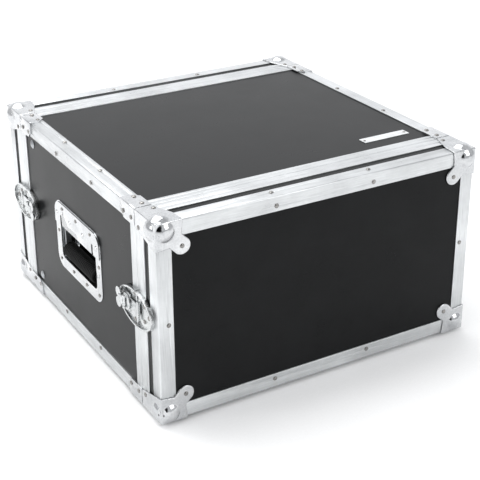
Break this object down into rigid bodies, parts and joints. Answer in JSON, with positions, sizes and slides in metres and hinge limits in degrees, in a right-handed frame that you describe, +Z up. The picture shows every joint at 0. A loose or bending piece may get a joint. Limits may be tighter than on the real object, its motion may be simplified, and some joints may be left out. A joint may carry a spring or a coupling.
{
  "type": "equipment rack case",
  "caption": "Laminated rack flight case with aluminium edges, ball corners, lift-off front and rear lids, butterfly twist latches, recessed sprung handles and six-unit rack rails.",
  "frame": {"origin": "on the floor under the middle of the case", "axes": "+Z up, front lid faces -Y, case width along X"},
  "size_m": [0.5342, 0.535, 0.305],
  "materials": {
    "laminate": "dark grey phenolic laminate on plywood",
    "aluminium_profile": "satin anodised extrusion",
    "zinc_steel": "zinc plated",
    "grip_rubber": "ribbed moulding",
    "rivet_steel": "nickel plated",
    "name_plate": "blank plate",
    "chromed_steel": "bright chrome"
  },
  "bodies": {
    "case_body": {"top_panel": "laminate", "bottom_panel": "laminate", "left_panel": "laminate", "right_panel": "laminate", "edge_top_left": "aluminium_profile", "edge_top_right": "aluminium_profile", "edge_bottom_left": "aluminium_profile", "edge_bottom_right": "aluminium_profile", "front_rim": "aluminium_profile", "rear_rim": "aluminium_profile", "corner_braces": "chromed_steel", "rail_front_left": "zinc_steel", "rail_front_right": "zinc_steel", "rail_rear_left": "zinc_steel", "rail_rear_right": "zinc_steel", "rail_bolts": "zinc_steel", "rail_screws": "zinc_steel", "handle_dish_left": "chromed_steel", "handle_dish_right": "chromed_steel", "handle_hinge_plate_left": "chromed_steel", "handle_hinge_plate_right": "chromed_steel", "handle_rivets": "rivet_steel", "handle_pin_left": "zinc_steel", "handle_pin_right": "zinc_steel", "handle_springs_left": "zinc_steel", "handle_springs_right": "zinc_steel", "latch_bases": "chromed_steel", "label_plate": "name_plate", "body_rivets": "rivet_steel"},
    "front_lid": {"front_lid_panel": "laminate", "front_lid_side_boards": "laminate", "front_lid_rim": "aluminium_profile", "front_lid_edging": "aluminium_profile", "front_lid_ball_corners": "chromed_steel", "front_lid_keepers": "chromed_steel", "front_lid_rivets": "rivet_steel"},
    "rear_lid": {"rear_lid_panel": "laminate", "rear_lid_side_boards": "laminate", "rear_lid_rim": "aluminium_profile", "rear_lid_edging": "aluminium_profile", "rear_lid_ball_corners": "chromed_steel", "rear_lid_keepers": "chromed_steel", "rear_lid_rivets": "rivet_steel"},
    "latch_drum_front_left": {"latch_drum_front_left": "chromed_steel"},
    "latch_wing_front_left": {"latch_wing_front_left": "chromed_steel"},
    "latch_claw_front_left": {"latch_claw_front_left": "chromed_steel"},
    "latch_drum_front_right": {"latch_drum_front_right": "chromed_steel"},
    "latch_wing_front_right": {"latch_wing_front_right": "chromed_steel"},
    "latch_claw_front_right": {"latch_claw_front_right": "chromed_steel"},
    "latch_drum_rear_left": {"latch_drum_rear_left": "chromed_steel"},
    "latch_wing_rear_left": {"latch_wing_rear_left": "chromed_steel"},
    "latch_claw_rear_left": {"latch_claw_rear_left": "chromed_steel"},
    "latch_drum_rear_right": {"latch_drum_rear_right": "chromed_steel"},
    "latch_wing_rear_right": {"latch_wing_rear_right": "chromed_steel"},
    "latch_claw_rear_right": {"latch_claw_rear_right": "chromed_steel"},
    "handle_left": {"handle_bail_left": "zinc_steel", "handle_grip_left": "grip_rubber"},
    "handle_right": {"handle_bail_right": "zinc_steel", "handle_grip_right": "grip_rubber"}
  },
  "joints": [
    {"name": "front_lid_off", "type": "slide", "parent": "case_body", "child": "front_lid", "axis": [0, -1, 0], "range_m": [0, 0.15]},
    {"name": "rear_lid_off", "type": "slide", "parent": "case_body", "child": "rear_lid", "axis": [0, 1, 0], "range_m": [0, 0.15]},
    {"name": "latch_turn_front_left", "type": "hinge", "parent": "case_body", "child": "latch_drum_front_left", "pos_m": [-0.255, -0.178, 0.1555], "axis": [-1, 0, 0], "range_deg": [0, 180]},
    {"name": "wing_fold_front_left", "type": "hinge", "parent": "latch_drum_front_left", "child": "latch_wing_front_left", "pos_m": [-0.2643, -0.178, 0.1555], "axis": [0, 0, 1], "range_deg": [0, 90]},
    {"name": "claw_travel_front_left", "type": "slide", "parent": "case_body", "child": "latch_claw_front_left", "axis": [0, -1, 0], "range_m": [0, 0.0051]},
    {"name": "latch_turn_front_right", "type": "hinge", "parent": "case_body", "child": "latch_drum_front_right", "pos_m": [0.255, -0.178, 0.1555], "axis": [1, 0, 0], "range_deg": [0, 180]},
    {"name": "wing_fold_front_right", "type": "hinge", "parent": "latch_drum_front_right", "child": "latch_wing_front_right", "pos_m": [0.2643, -0.178, 0.1555], "axis": [0, 0, -1], "range_deg": [0, 90]},
    {"name": "claw_travel_front_right", "type": "slide", "parent": "case_body", "child": "latch_claw_front_right", "axis": [0, -1, 0], "range_m": [0, 0.0051]},
    {"name": "latch_turn_rear_left", "type": "hinge", "parent": "case_body", "child": "latch_drum_rear_left", "pos_m": [-0.255, 0.178, 0.1555], "axis": [-1, 0, 0], "range_deg": [0, 180]},
    {"name": "wing_fold_rear_left", "type": "hinge", "parent": "latch_drum_rear_left", "child": "latch_wing_rear_left", "pos_m": [-0.2643, 0.178, 0.1555], "axis": [0, 0, -1], "range_deg": [0, 90]},
    {"name": "claw_travel_rear_left", "type": "slide", "parent": "case_body", "child": "latch_claw_rear_left", "axis": [0, 1, 0], "range_m": [0, 0.0051]},
    {"name": "latch_turn_rear_right", "type": "hinge", "parent": "case_body", "child": "latch_drum_rear_right", "pos_m": [0.255, 0.178, 0.1555], "axis": [1, 0, 0], "range_deg": [0, 180]},
    {"name": "wing_fold_rear_right", "type": "hinge", "parent": "latch_drum_rear_right", "child": "latch_wing_rear_right", "pos_m": [0.2643, 0.178, 0.1555], "axis": [0, 0, 1], "range_deg": [0, 90]},
    {"name": "claw_travel_rear_right", "type": "slide", "parent": "case_body", "child": "latch_claw_rear_right", "axis": [0, 1, 0], "range_m": [0, 0.0051]},
    {"name": "handle_swing_left", "type": "hinge", "parent": "case_body", "child": "handle_left", "pos_m": [-0.247, 0, 0.182], "axis": [0, 1, 0], "range_deg": [0, 90], "stiffness_Nm_per_rad": 0.35, "springref_deg": -20.05},
    {"name": "handle_swing_right", "type": "hinge", "parent": "case_body", "child": "handle_right", "pos_m": [0.247, 0, 0.182], "axis": [0, -1, 0], "range_deg": [0, 90], "stiffness_Nm_per_rad": 0.35, "springref_deg": -20.05}
  ],
  "couplings": [
    {"joint": "claw_travel_front_left", "follows": "latch_turn_front_left", "m_per_rad": 0.0015915},
    {"joint": "claw_travel_front_right", "follows": "latch_turn_front_right", "m_per_rad": 0.0015915},
    {"joint": "claw_travel_rear_left", "follows": "latch_turn_rear_left", "m_per_rad": 0.0015915},
    {"joint": "claw_travel_rear_right", "follows": "latch_turn_rear_right", "m_per_rad": 0.0015915}
  ]
}
